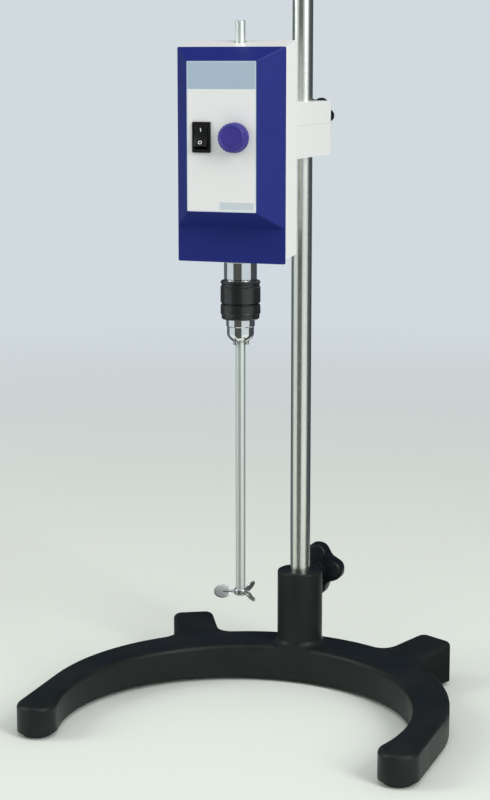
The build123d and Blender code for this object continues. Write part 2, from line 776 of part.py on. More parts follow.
def chuck_core():
    """Revolved core of the chuck: collar, neck inside the sleeves and tapered nose."""
    neck_r = sleeve_bore_r - running
    points = [(0, collar_top), (collar_r - 1, collar_top), (collar_r, collar_top - 1),
              (collar_r, collar_top - collar_h), (neck_r, collar_top - collar_h), (neck_r, nose_top),
              (nose_r, nose_top), (nose_r, nose_bottom + nose_taper), (nose_tip_r, nose_bottom), (0, nose_bottom)]
    profile = make_face(Polyline(*points, close=True))
    return Pos(0, spindle_y, 0) * revolve(Plane.XZ * profile, Axis.Z)


def jaw_place(turn):
    """Frame of a jaw: its foot beside the shaft, its axis leaning outwards."""
    foot_z = nose_bottom - 1.0
    return Pos(0, spindle_y, foot_z) * Rot(0, 0, turn) * Pos(jaw_foot, 0, 0) * Rot(0, jaw_tilt, 0)


def chuck_body():
    body = chuck_core() - post(shaft_r + running, nose_bottom - 1, collar_top + 1, y=spindle_y)
    body -= post(spindle_r, collar_top - collar_h / 2, collar_top + 1, y=spindle_y)
    body -= post(shaft_r + 1.2, nose_bottom - 1, nose_bottom + 9, y=spindle_y)
    for index in range(jaw_count):
        body -= jaw_place(360 * index / jaw_count) * Cylinder(
            jaw_r + running, 2 * (jaw_l + 7), align=(Align.CENTER, Align.CENTER, Align.CENTER))
    return body


def jaw(index):
    """A round jaw, cut away on the side that grips the shaft."""
    rod = jaw_place(360 * index / jaw_count) * Pos(0, 0, 1.0) * Cylinder(
        jaw_r, jaw_l, align=(Align.CENTER, Align.CENTER, Align.MIN))
    return rod - post(shaft_r + running, nose_bottom - 5, nose_top + 5, y=spindle_y)


def sleeve(z_low, height):
    """A fluted ring of the chuck."""
    ring = Cylinder(sleeve_r, height, align=(Align.CENTER, Align.CENTER, Align.MIN))
    ring = fillet(ring.edges(), 1.0)
    for turn in range(sleeve_flutes):
        flute = Pos(sleeve_r + flute_r * 0.5, 0, height / 2) * Cylinder(flute_r, height - 5)
        ring -= Rot(0, 0, 360 * turn / sleeve_flutes) * flute
    ring -= Cylinder(sleeve_bore_r, 3 * height)
    return Pos(0, spindle_y, z_low) * ring


def chuck_holding_sleeve():
    """Upper ring, pressed on the chuck's neck."""
    return sleeve(sleeve_top - holding_h, holding_h)


def chuck_sleeve():
    """Lower ring, which turns to open the jaws."""
    return sleeve(nose_top, turning_h)


def stirring_shaft():
    body = post(shaft_r, shaft_bottom, shaft_top, y=spindle_y)
    return chamfer(body.edges().group_by(Axis.Z)[-1], shaft_chamfer)


def propeller():
    """Hub on the shaft's end with three oval blades on short arms."""
    low = shaft_bottom - hub_cap
    hub = post(hub_r, low, low + hub_h, y=spindle_y)
    hub = fillet(hub.edges(), 0.8)
    middle_z = low + hub_h / 2
    blade_at = blade_reach - blade_l / 2
    for index in range(blade_count):
        blade = extrude(Ellipse(blade_l / 2, blade_chord / 2), blade_t / 2, both=True)
        blade = Pos(blade_at, 0, 0) * Rot(-blade_pitch, 0, 0) * blade
        arm = Pos(blade_at / 2, 0, 0) * Rot(0, 90, 0) * Cylinder(blade_arm_r, blade_at)
        turn = blade_turn + 360 * index / blade_count
        hub += Pos(0, spindle_y, middle_z) * Rot(0, 0, turn) * (blade + arm)
    return hub - post(shaft_r, shaft_bottom, shaft_top, y=spindle_y)


def pieces():
    """Every node by its name."""
    base_end = screw_end(base_knob, base_knob_start)
    arm_end = screw_end(arm_knob, arm_knob_start)
    nodes = {
        "base_casting": base_casting(),
        "base_feet": base_feet(),
        "stand_rod": stand_rod(),
        "base_clamp_knob": clamp_knob(base_knob, base_knob_start, base_clamp_z, base_screw_r, base_end),
        "base_clamp_screw": clamp_screw(base_screw_r, base_end, base_clamp_z),
        "mounting_arm": mounting_arm(),
        "arm_screws": arm_screws(),
        "head_clamp_knob": clamp_knob(arm_knob, arm_knob_start, arm_clamp_z, arm_clamp_r, arm_end),
        "head_clamp_screw": clamp_screw(arm_clamp_r, arm_end, arm_clamp_z),
        "casing": casing(),
        "front_cover": front_cover(),
        "front_panel": front_panel(),
        "rear_cover": rear_cover(),
        "cover_screws": cover_screws(),
        "cable_gland": cable_gland(),
        "chassis_lower_plate": chassis_lower_plate(),
        "chassis_upper_plate": chassis_upper_plate(),
        "chassis_posts": chassis_posts(),
        "lower_bearing": bearing(lower_plate_z),
        "upper_bearing": bearing(upper_plate_z),
        "motor_body": motor_body(),
        "motor_shaft": motor_shaft(),
        "motor_pinion": motor_pinion(),
        "drive_gear": drive_gear(),
        "spindle": spindle(),
        "switch_body": switch_body(),
        "switch_rocker": switch_rocker(),
        "speed_knob": speed_knob(),
        "knob_shaft": knob_shaft(),
        "potentiometer": potentiometer(),
        "circuit_board": circuit_board(),
        "board_parts": board_parts(),
        "chuck_body": chuck_body(),
        "chuck_holding_sleeve": chuck_holding_sleeve(),
        "chuck_sleeve": chuck_sleeve(),
        "stirring_shaft": stirring_shaft(),
        "propeller": propeller(),
    }
    for index in range(jaw_count):
        nodes[f"jaw_{index + 1}"] = jaw(index)
    return nodes


def write_parts():
    """Move every piece so that the origin lies under the middle of the whole, and write it."""
    for name, piece in pieces().items():
        export_step(Pos(0, stand_y, 0) * piece, f"parts/{name}.step")


write_parts()
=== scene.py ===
"""Grips, switch, chuck, blades, finishes and studio for an overhead stirrer on a horseshoe stand."""
import json
from math import atan2, cos, pi, radians, sin, tan

import bmesh
import bpy
from mathutils import Matrix, Vector


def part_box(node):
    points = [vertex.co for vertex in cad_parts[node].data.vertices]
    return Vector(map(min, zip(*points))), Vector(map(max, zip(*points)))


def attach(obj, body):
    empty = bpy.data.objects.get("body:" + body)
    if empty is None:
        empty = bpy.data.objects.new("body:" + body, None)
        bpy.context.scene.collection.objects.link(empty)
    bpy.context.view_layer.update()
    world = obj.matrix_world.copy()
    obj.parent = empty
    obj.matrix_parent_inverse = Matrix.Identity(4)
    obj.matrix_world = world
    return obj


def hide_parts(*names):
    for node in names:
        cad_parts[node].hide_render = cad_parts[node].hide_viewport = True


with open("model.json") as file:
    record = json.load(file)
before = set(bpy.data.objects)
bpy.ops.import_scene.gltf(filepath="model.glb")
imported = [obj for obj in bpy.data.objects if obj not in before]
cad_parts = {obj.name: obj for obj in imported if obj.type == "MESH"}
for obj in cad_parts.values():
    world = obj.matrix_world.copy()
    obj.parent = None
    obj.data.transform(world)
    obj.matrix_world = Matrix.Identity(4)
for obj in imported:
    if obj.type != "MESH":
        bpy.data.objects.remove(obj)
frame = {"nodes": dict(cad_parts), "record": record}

bl_info = {
    "name": "Overhead stirrer",
    "version": (1, 0, 0),
    "blender": (4, 5, 0),
    "location": "3D View > Sidebar > Stirrer",
    "description": "Adds the moulded, turned and printed details of an overhead stirrer and a plain studio",
    "category": "Add Mesh",
}

MM = 0.001
FRONT = Matrix.Rotation(radians(90), 4, "X")  # turns a piece's Z axis to the front
BACK = Matrix.Rotation(radians(-90), 4, "X")  # turns a piece's Z axis to the back
TURNED_STEPS = 96  # facets round the chuck's turned pieces

# Camera that was fitted to the photograph
CAMERA_PLACE = (0.5416, -1.5041, 0.5557)
CAMERA_TILT = 80.0  # degrees up from straight down
CAMERA_TURN = 20.5  # degrees to the right of the stirrer's front
FOCAL_PIXELS = 1899
IMAGE_HEIGHT = 800
SENSOR = 36


# Sizes read from the frame

def middle(node):
    """Centre of a CAD node's box."""
    low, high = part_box(node)
    return (low + high) / 2


def extent(node):
    """Size of a CAD node's box."""
    low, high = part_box(node)
    return high - low


SPINDLE = middle("stirring_shaft")
KNOB = middle("speed_knob")
ROCKER = middle("switch_body")
PANEL_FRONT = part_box("front_panel")[0].y


# Settings that a user would change

class StirrerSizes(bpy.types.PropertyGroup):
    """Sizes of the details."""

    knob_radius: bpy.props.FloatProperty(
        name="Speed knob radius", description="Radius over the knob's flutes",
        default=extent("speed_knob").x / 2, min=0.005, max=0.02, unit="LENGTH")
    knob_flutes: bpy.props.IntProperty(
        name="Speed knob flutes", description="Number of finger flutes round the speed knob",
        default=24, min=8, max=40)
    sleeve_radius: bpy.props.FloatProperty(
        name="Chuck sleeve radius", description="Radius over the knurl of the chuck's sleeves",
        default=extent("chuck_sleeve").x / 2, min=0.01, max=0.03, unit="LENGTH")
    knurl_depth: bpy.props.FloatProperty(
        name="Knurl depth", description="Depth of the diamond knurl on the chuck's sleeves",
        default=0.35 * MM, min=0.0, max=0.001, unit="LENGTH")
    blade_length: bpy.props.FloatProperty(
        name="Blade length", description="Length of a propeller blade, outwards from the shaft",
        default=14.4 * MM, min=0.005, max=0.02, unit="LENGTH")
    blade_height: bpy.props.FloatProperty(
        name="Blade chord", description="Size of a propeller blade across its length",
        default=11.6 * MM, min=0.005, max=0.02, unit="LENGTH")
    blade_pitch: bpy.props.FloatProperty(
        name="Blade pitch", description="Slant of the blades from level",
        default=radians(-60), subtype="ANGLE")
    boot_ribs: bpy.props.IntProperty(
        name="Boot ribs", description="Number of ribs on the cable gland's boot",
        default=5, min=1, max=9)


class StirrerColours(bpy.types.PropertyGroup):
    """Colours of the finishes."""

    cast_black: bpy.props.FloatVectorProperty(
        name="Base enamel", description="Enamel on the cast base", subtype="COLOR",
        default=(0.010, 0.012, 0.011), min=0.0, max=1.0)
    cover_blue: bpy.props.FloatVectorProperty(
        name="Front cover", description="Moulded front cover", subtype="COLOR",
        default=(0.012, 0.020, 0.165), min=0.0, max=1.0)
    cover_white: bpy.props.FloatVectorProperty(
        name="Casing enamel", description="Casing, arm and rear housing", subtype="COLOR",
        default=(0.87, 0.88, 0.85), min=0.0, max=1.0)
    panel_grey: bpy.props.FloatVectorProperty(
        name="Face plate", description="Ground colour of the face plate", subtype="COLOR",
        default=(0.76, 0.76, 0.745), min=0.0, max=1.0)
    band_grey: bpy.props.FloatVectorProperty(
        name="Face plate bands", description="Printed bands of the face plate", subtype="COLOR",
        default=(0.36, 0.46, 0.54), min=0.0, max=1.0)
    knob_violet: bpy.props.FloatVectorProperty(
        name="Speed knob", description="Moulded speed knob", subtype="COLOR",
        default=(0.030, 0.022, 0.215), min=0.0, max=1.0)
    floor: bpy.props.FloatVectorProperty(
        name="Floor", description="Floor near the stirrer", subtype="COLOR",
        default=(0.775, 0.82, 0.76), min=0.0, max=1.0)
    backdrop: bpy.props.FloatVectorProperty(
        name="Backdrop", description="Far floor and surroundings", subtype="COLOR",
        default=(0.64, 0.70, 0.74), min=0.0, max=1.0)


class StirrerSettings(bpy.types.PropertyGroup):
    """All settings of the stirrer."""

    sizes: bpy.props.PointerProperty(type=StirrerSizes)
    colours: bpy.props.PointerProperty(type=StirrerColours)


def sizes():
    """The scene's sizes."""
    return bpy.context.scene.stirrer.sizes


def colours():
    """The scene's colours."""
    return bpy.context.scene.stirrer.colours


# Hand tools for meshes

def alone(obj):
    """Select one object and make it active."""
    bpy.ops.object.select_all(action="DESELECT")
    obj.select_set(True)
    bpy.context.view_layer.objects.active = obj
    return obj


def begin(name, add, **values):
    """Add a primitive with nothing else selected, and name it."""
    bpy.ops.object.select_all(action="DESELECT")
    add(**values)
    obj = bpy.context.object
    obj.name = name
    obj.data.name = name
    bpy.ops.object.transform_apply(location=True, rotation=True, scale=True)
    return obj


def shape(obj):
    """Enter edit mode on one object."""
    alone(obj)
    bpy.ops.object.mode_set(mode="EDIT")


def leave():
    """Point all faces outwards and leave edit mode."""
    bpy.ops.mesh.select_all(action="SELECT")
    bpy.ops.mesh.remove_doubles(threshold=0.002 * MM)
    bpy.ops.mesh.normals_make_consistent(inside=False)
    bpy.ops.object.mode_set(mode="OBJECT")


def pick(kind, test):
    """In edit mode, select only what passes a test of its middle and its direction."""
    bpy.ops.mesh.select_mode(type=kind)
    bpy.ops.mesh.select_all(action="DESELECT")
    mesh = bmesh.from_edit_mesh(bpy.context.object.data)
    if kind == "VERT":
        for corner in mesh.verts:
            corner.select_set(test(corner.co, corner.normal))
    elif kind == "EDGE":
        for edge in mesh.edges:
            start, end = edge.verts[0].co, edge.verts[1].co
            edge.select_set(test((start + end) / 2, (end - start).normalized()))
    else:
        for face in mesh.faces:
            face.select_set(test(face.calc_center_median(), face.normal))
    mesh.select_flush_mode()
    bmesh.update_edit_mesh(bpy.context.object.data)


def turned(name, outline, steps, ring=False):
    """Turn an outline of (radius, height) pairs about Z, as a solid or as a closed ring."""
    radius, height = outline[0]
    obj = begin(name, bpy.ops.mesh.primitive_circle_add, vertices=steps, radius=radius,
                location=(0, 0, height))
    shape(obj)
    bpy.ops.mesh.select_mode(type="EDGE")
    bpy.ops.mesh.select_all(action="SELECT")
    for next_radius, next_height in outline[1:]:
        bpy.ops.mesh.extrude_region_move(TRANSFORM_OT_translate={"value": (0, 0, next_height - height)})
        scale = next_radius / radius
        bpy.ops.transform.resize(value=(scale, scale, 1), center_override=(0, 0, 0))
        radius, height = next_radius, next_height
    bpy.ops.mesh.select_all(action="DESELECT")
    bpy.ops.mesh.select_non_manifold()
    if ring:
        bpy.ops.mesh.bridge_edge_loops()
    else:
        bpy.ops.mesh.fill_holes(sides=0)
    leave()
    return obj


def squeeze(test, scale, centre=(0, 0, 0)):
    """Scale the corners that pass a test towards the Z axis through a point."""
    pick("VERT", test)
    bpy.ops.transform.resize(value=(scale, scale, 1), center_override=centre)


def put(obj, *turns):
    """Place an object by a product of matrices, and keep the place in its mesh."""
    place = Matrix.Identity(4)
    for turn in turns:
        place = place @ turn
    obj.matrix_world = place @ obj.matrix_world
    alone(obj)
    bpy.ops.object.transform_apply(location=True, rotation=True, scale=True)
    return obj


def copied(obj, name, *turns):
    """A copy with a mesh of its own, placed."""
    alone(obj)
    bpy.ops.object.duplicate(linked=False)
    copy = bpy.context.object
    copy.name = name
    copy.data.name = name
    return put(copy, *turns)


def joined(name, *objects):
    """Join objects into one."""
    alone(objects[0])
    for obj in objects:
        obj.select_set(True)
    bpy.ops.object.join()
    objects[0].name = name
    return objects[0]


def round_edges(obj, width, segments=3, angle=35):
    """Round an object's edges and apply the modifier."""
    alone(obj)
    bevel = obj.modifiers.new("Rounding", "BEVEL")
    bevel.width = width
    bevel.segments = segments
    bevel.limit_method = "ANGLE"
    bevel.angle_limit = radians(angle)
    bpy.ops.object.modifier_apply(modifier=bevel.name)
    return obj


def cut(obj, tool):
    """Take one object out of another."""
    alone(obj)
    boolean = obj.modifiers.new("Recess", "BOOLEAN")
    boolean.operation = "DIFFERENCE"
    boolean.solver = "EXACT"
    boolean.object = tool
    bpy.ops.object.modifier_apply(modifier=boolean.name)
    bpy.data.objects.remove(tool, do_unlink=True)
    return obj


def block(name, low, high):
    """A box between two corners."""
    low, high = Vector(low), Vector(high)
    return begin(name, bpy.ops.mesh.primitive_cube_add, size=1, location=(low + high) / 2, scale=high - low)


def at_node(low, high):
    """The place of a piece that starts in the middle of a node's front."""
    return Matrix.Translation(((low.x + high.x) / 2, low.y, (low.z + high.z) / 2))


def on_spindle(height=0.0):
    """A place on the spindle's axis."""
    return Matrix.Translation((SPINDLE.x, SPINDLE.y, height))


def complete(obj, body, material, smooth=35):
    """Give a piece its shading, finish and body."""
    alone(obj)
    bpy.ops.object.shade_smooth_by_angle(angle=radians(smooth))
    obj.data.materials.clear()
    obj.data.materials.append(material)
    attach(obj, body)
    return obj


# Shader maths

class Value:
    """An output socket; Python's operators on it add Math nodes."""

    def __init__(self, finish, socket):
        self.finish = finish
        self.socket = socket

    def __add__(self, other):
        return self.finish.math("ADD", self, other)

    __radd__ = __add__

    def __sub__(self, other):
        return self.finish.math("SUBTRACT", self, other)

    def __rsub__(self, other):
        return self.finish.math("SUBTRACT", other, self)

    def __mul__(self, other):
        return self.finish.math("MULTIPLY", self, other)

    __rmul__ = __mul__

    def __gt__(self, other):
        return self.finish.math("GREATER_THAN", self, other)

    def __lt__(self, other):
        return self.finish.math("LESS_THAN", self, other)

    def __abs__(self):
        return self.finish.math("ABSOLUTE", self)


class Finish:
    """A material, built node by node."""

    def __init__(self, name, owner=None):
        self.material = owner or bpy.data.materials.new(name)
        self.material.use_nodes = True
        self.tree = self.material.node_tree
        self.tree.nodes.clear()

    def node(self, kind, settings=None, values=None, out=0):
        """Any node by its type: settings first, then the values or links of its sockets."""
        made = self.tree.nodes.new(kind)
        for key, setting in (settings or {}).items():
            if key == "stops":
                for place, grey in setting[2:]:
                    made.color_ramp.elements.new(place)
                for stop, (place, grey) in zip(made.color_ramp.elements, sorted(setting)):
                    stop.position = place
                    stop.color = (grey, grey, grey, 1)
            else:
                setattr(made, key, setting)
        for key, value in (values or {}).items():
            if isinstance(value, Value):
                self.tree.links.new(value.socket, made.inputs[key])
            else:
                made.inputs[key].default_value = value
        return Value(self, made.outputs[out]) if made.outputs else None

    def math(self, operation, first, second=0.0):
        """A Math node."""
        return self.node("ShaderNodeMath", {"operation": operation}, {0: first, 1: second})

    def place(self):
        """Object coordinates, in metres."""
        return self.node("ShaderNodeTexCoord", out=3)

    def split(self, vector):
        """The three parts of a vector."""
        parts = self.node("ShaderNodeSeparateXYZ", values={0: vector})
        return [Value(self, socket) for socket in parts.socket.node.outputs]

    def stretched(self, factors):
        """Object coordinates, scaled along each axis."""
        return self.node("ShaderNodeVectorMath", {"operation": "MULTIPLY"}, {0: self.place(), 1: factors})

    def noise(self, scale, detail=2.0, vector=None, roughness=0.5):
        """Even noise, in object coordinates or in a vector's."""
        return self.node("ShaderNodeTexNoise", {"noise_dimensions": "3D"},
                         {"Vector": vector or self.place(), "Scale": scale, "Detail": detail,
                          "Roughness": roughness})

    def ramp(self, value, *stops):
        """A value remapped through grey stops of (place, brightness)."""
        return self.node("ShaderNodeValToRGB", {"stops": list(stops)}, {0: value})

    def mix(self, factor, first, second):
        """A colour between two others."""
        mixed = self.node("ShaderNodeMix", {"data_type": "RGBA"}, {0: factor})
        mix_node = mixed.socket.node
        for index, colour in ((6, first), (7, second)):
            if isinstance(colour, Value):
                self.tree.links.new(colour.socket, mix_node.inputs[index])
            else:
                mix_node.inputs[index].default_value = (*colour[:3], 1)
        return Value(self, mix_node.outputs[2])

    def bump(self, height, depth, strength=1.0):
        """A normal that is bent by a height."""
        return self.node("ShaderNodeBump",
                         values={"Height": height, "Distance": depth, "Strength": strength})

    def glow(self, colour):
        """An even glow."""
        return self.node("ShaderNodeEmission", values={"Color": (*colour, 1), "Strength": 1.0})

    def done(self, **inputs):
        """Close the material with a Principled BSDF."""
        names = {key.replace("_", " ").title(): value for key, value in inputs.items()}
        names = {key.replace("Ior", "IOR"): value for key, value in names.items()}
        for key in ("Base Color", "Emission Color"):
            if key in names and not isinstance(names[key], Value):
                names[key] = (*names[key][:3], 1)
        surface = self.node("ShaderNodeBsdfPrincipled", values=names)
        self.node("ShaderNodeOutputMaterial", values={0: surface})
        return self.material


# Finishes

def finish_cast_enamel():
    """Black enamel over a sand casting: orange peel, faint pits and dusty patches."""
    f = Finish("cast_enamel_black")
    peel = f.noise(520, 3)
    pits = f.ramp(f.noise(1500, 2), (0.30, 0.0), (0.42, 1.0))
    dust = f.ramp(f.noise(28, 4), (0.40, 0.0), (0.72, 1.0))
    black = colours().cast_black
    colour = f.mix(dust * 0.35, black, [part * 1.7 + 0.004 for part in black])
    return f.done(base_color=colour, roughness=0.34 + peel * 0.14 + dust * 0.10, specular_ior_level=0.22,
                  normal=f.bump(peel + pits * 0.4, 0.30 * MM, 0.35))


def finish_blue_moulding():
    """Dark blue plastic with fine spark-eroded grain."""
    f = Finish("blue_moulding")
    grain = f.noise(2600, 2)
    cloud = f.noise(35, 3)
    blue = colours().cover_blue
    colour = f.mix(f.ramp(cloud, (0.35, 0.0), (0.7, 1.0)) * 0.5, blue, [part * 1.12 for part in blue])
    return f.done(base_color=colour, roughness=0.34 + grain * 0.12, specular_ior_level=0.20,
                  normal=f.bump(grain, 0.05 * MM, 0.5))


def finish_white_enamel(name="white_enamel", seam=None):
    """White stove enamel with soft orange peel; a seam is a fine joint line at a height."""
    f = Finish(name)
    peel = f.noise(420, 2)
    smudge = f.ramp(f.noise(22, 4), (0.45, 0.0), (0.75, 1.0))
    white = colours().cover_white
    colour = f.mix(smudge * 0.4, white, [part * 0.95 for part in white])
    height = peel
    if seam:
        z = f.split(f.place())[2]
        line = abs(z - seam) < 0.35 * MM
        colour = f.mix(line * 0.45, colour, [part * 0.62 for part in white])
        height = height - line * 0.8
    return f.done(base_color=colour, roughness=0.30 + peel * 0.12 + smudge * 0.06, coat_weight=0.2,
                  coat_roughness=0.15, normal=f.bump(height, 0.12 * MM, 0.3))


def finish_face_plate():
    """Pale printed film: a grey header, a grey footer strip and a hairline border."""
    f = Finish("face_plate_print")
    header_h, border_w = 21.6 * MM, 1.1 * MM
    footer_left, footer_inset = -1.5 * MM, 2.0 * MM
    footer_low, footer_high = 1.8 * MM, 7.6 * MM
    low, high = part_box("front_panel")
    x, _, z = f.split(f.place())
    header = z > high.z - header_h
    footer = ((z < low.z + footer_high) * (x > footer_left) * (x < high.x - footer_inset)
              * (z > low.z + footer_low))
    inset_x = abs(x - (low.x + high.x) / 2) > (high.x - low.x) / 2 - border_w
    inset_z = abs(z - (low.z + high.z) / 2) > (high.z - low.z) / 2 - border_w
    border = f.math("MAXIMUM", inset_x, inset_z)
    grain = f.noise(1800, 2)
    tint = f.noise(60, 3)
    pale, grey = colours().panel_grey, colours().band_grey
    ground = f.mix(tint * 0.25, pale, [part * 0.95 for part in pale])
    banded = f.mix(header, ground, grey)
    banded = f.mix(footer * 0.55, banded, [part * 1.02 for part in grey])
    colour = f.mix(border * 0.55, banded, (0.50, 0.60, 0.68))
    return f.done(base_color=colour, roughness=0.42 + grain * 0.12,
                  normal=f.bump(grain, 0.03 * MM, 0.4))


def finish_plastic(name, colour, roughness=0.4, grain_scale=1500, depth=0.05, coat=0.0, gloss=0.5):
    """Moulded plastic with fine grain and slight unevenness."""
    f = Finish(name)
    grain = f.noise(grain_scale, 2)
    cloud = f.noise(90, 3)
    pale = [part * 1.35 + 0.002 for part in colour]
    shade = f.mix(f.ramp(cloud, (0.35, 0.0), (0.7, 1.0)) * 0.6, colour, pale)
    return f.done(base_color=shade, roughness=roughness + (grain - 0.5) * 0.12, coat_weight=coat,
                  specular_ior_level=gloss, normal=f.bump(grain, depth * MM, 0.5))


def finish_metal(name, colour, roughness, lines, depth, wear):
    """Metal with machining lines: noise drawn out by three factors."""
    f = Finish(name)
    drawn = f.noise(1.0, 3, f.stretched(lines), 0.6)
    patch = f.noise(45, 4)
    dull = [part * 0.88 for part in colour]
    shade = f.mix(f.ramp(patch, (0.35, 0.0), (0.75, 1.0)) * 0.5, colour, dull)
    return f.done(base_color=shade, metallic=1.0, roughness=roughness + (drawn - 0.5) * wear + patch * 0.04,
                  normal=f.bump(drawn, depth * MM, 0.5))


def finish_rubber():
    """Matt black rubber with a bloom."""
    f = Finish("pad_rubber")
    grain = f.noise(900, 4)
    bloom = f.ramp(f.noise(70, 3), (0.4, 0.0), (0.7, 1.0))
    return f.done(base_color=f.mix(bloom * 0.5, (0.014, 0.014, 0.015), (0.04, 0.04, 0.042)),
                  roughness=0.72 + grain * 0.15, normal=f.bump(grain, 0.08 * MM, 0.6))


def make_finishes():
    """Every finish by its name, made once."""
    violet = colours().knob_violet
    return {
        "cast": finish_cast_enamel(),
        "blue": finish_blue_moulding(),
        "white": finish_white_enamel(),
        "arm": finish_white_enamel("arm_enamel", seam=505.5 * MM),
        "plate": finish_face_plate(),
        "violet": finish_plastic("knob_violet", violet, 0.42, 1300, 0.06),
        "switch": finish_plastic("switch_black", (0.010, 0.011, 0.010), 0.34, 2200, 0.02, gloss=0.15),
        "grip": finish_plastic("grip_black", (0.006, 0.007, 0.009), 0.36, 900, 0.06, gloss=0.2),
        "knurl": finish_plastic("sleeve_black", (0.012, 0.013, 0.013), 0.28, 1200, 0.04, 0.2),
        "print": finish_plastic("mark_white", (0.75, 0.75, 0.72), 0.5, 1500, 0.02),
        "laminate": finish_plastic("board_laminate", (0.02, 0.16, 0.07), 0.35, 2600, 0.03, 0.3),
        "component": finish_plastic("board_component", (0.03, 0.03, 0.045), 0.35, 1800, 0.03),
        "rubber": finish_rubber(),
        "rod": finish_metal("rod_polished", (0.80, 0.80, 0.74), 0.24, (600, 600, 9000), 0.001, 0.08),
        "shaft": finish_metal("shaft_ground", (0.72, 0.77, 0.73), 0.54, (900, 900, 12000), 0.004, 0.12),
        "chrome": finish_metal("chuck_chrome", (0.86, 0.88, 0.87), 0.07, (300, 300, 5000), 0.003, 0.05),
        "blade": finish_metal("blade_steel", (0.42, 0.44, 0.43), 0.36, (2600, 500, 500), 0.012, 0.18),
        "zinc": finish_metal("screw_zinc", (0.62, 0.62, 0.58), 0.30, (2000, 2000, 2000), 0.010, 0.15),
        "steel": finish_metal("drive_steel", (0.52, 0.53, 0.54), 0.28, (0, 0, 9000), 0.008, 0.12),
        "sheet": finish_metal("chassis_aluminium", (0.68, 0.69, 0.70), 0.38, (3500, 120, 120), 0.012, 0.15),
        "brass": finish_metal("gear_brass", (0.70, 0.52, 0.22), 0.30, (400, 400, 3000), 0.010, 0.12),
        "can": finish_metal("motor_can", (0.26, 0.27, 0.28), 0.42, (800, 800, 60), 0.010, 0.15),
    }


FINISH_OF_SLOT = {
    "black_cast": "cast", "rubber_pads": "rubber", "steel_rod": "rod", "black_grip": "grip",
    "zinc_screw": "zinc", "white_cover": "white", "blue_cover": "blue", "face_plate": "plate",
    "black_switch": "switch", "blue_knob": "violet", "chuck_chrome": "chrome", "chuck_black": "knurl",
    "shaft_steel": "shaft", "chassis_metal": "sheet", "drive_steel": "steel", "gear_brass": "brass",
    "board_green": "laminate", "board_mixed": "component", "motor_can": "can",
}
finishes = {}


# Operators, one for each piece or group of like pieces

class STIRRER_OT_finishes(bpy.types.Operator):
    """Make every finish and give it to the frame's nodes"""

    bl_idname = "stirrer.finishes"
    bl_label = "Finishes"

    def execute(self, context):
        finishes.clear()
        finishes.update(make_finishes())
        for part in frame["record"]["subparts"]:
            mesh = frame["nodes"][part["node"]].data
            mesh.materials.clear()
            mesh.materials.append(finishes[FINISH_OF_SLOT[part["material_slot"]]])
        arm = frame["nodes"]["mounting_arm"].data
        arm.materials.clear()
        arm.materials.append(finishes["arm"])
        return {"FINISHED"}


class STIRRER_OT_speed_knob(bpy.types.Operator):
    """Add the fluted speed knob with its moulded pointer"""

    bl_idname = "stirrer.speed_knob"
    bl_label = "Speed knob"

    def execute(self, context):
        r = sizes().knob_radius
        height = extent("speed_knob").y
        flutes = sizes().knob_flutes
        flute_share = 0.1  # of a flute's pitch, to each side of its middle
        flute_scale = 0.955
        outline = [(r - 0.5 * MM, 0), (r, 0.4 * MM), (r, 1.8 * MM), (r - 0.3 * MM, 2.2 * MM),
                   (r - 0.3 * MM, height - 2.2 * MM), (r - 0.7 * MM, height - 1.0 * MM),
                   (r - 1.4 * MM, height - 0.3 * MM), (r - 2.3 * MM, height), (r - 3.0 * MM, height),
                   (r - 3.4 * MM, height - 0.35 * MM), (r * 0.3, height - 0.35 * MM)]
        knob = turned("speed_knob_grip", outline, 4 * flutes)
        shape(knob)
        step = 2 * pi / flutes

        def phase(co):
            """How far a corner is from the middle of a flute, as a share of their pitch."""
            return abs((atan2(co.y, co.x) / step + 0.5) % 1 - 0.5)

        squeeze(lambda co, n: 2 * MM < co.z < height - 0.6 * MM and phase(co) < flute_share, flute_scale)
        leave()
        pointer = block("pointer", (-0.6 * MM, r * 0.30, height - 0.5 * MM),
                        (0.6 * MM, r - 3.6 * MM, height - 0.05 * MM))
        round_edges(pointer, 0.2 * MM, 2)
        knob = joined("speed_knob_grip", knob, pointer)
        put(knob, Matrix.Translation((KNOB.x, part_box("speed_knob")[1].y, KNOB.z)), FRONT)
        complete(knob, "speed_control", finishes["violet"], 40)
        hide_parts("speed_knob")
        return {"FINISHED"}


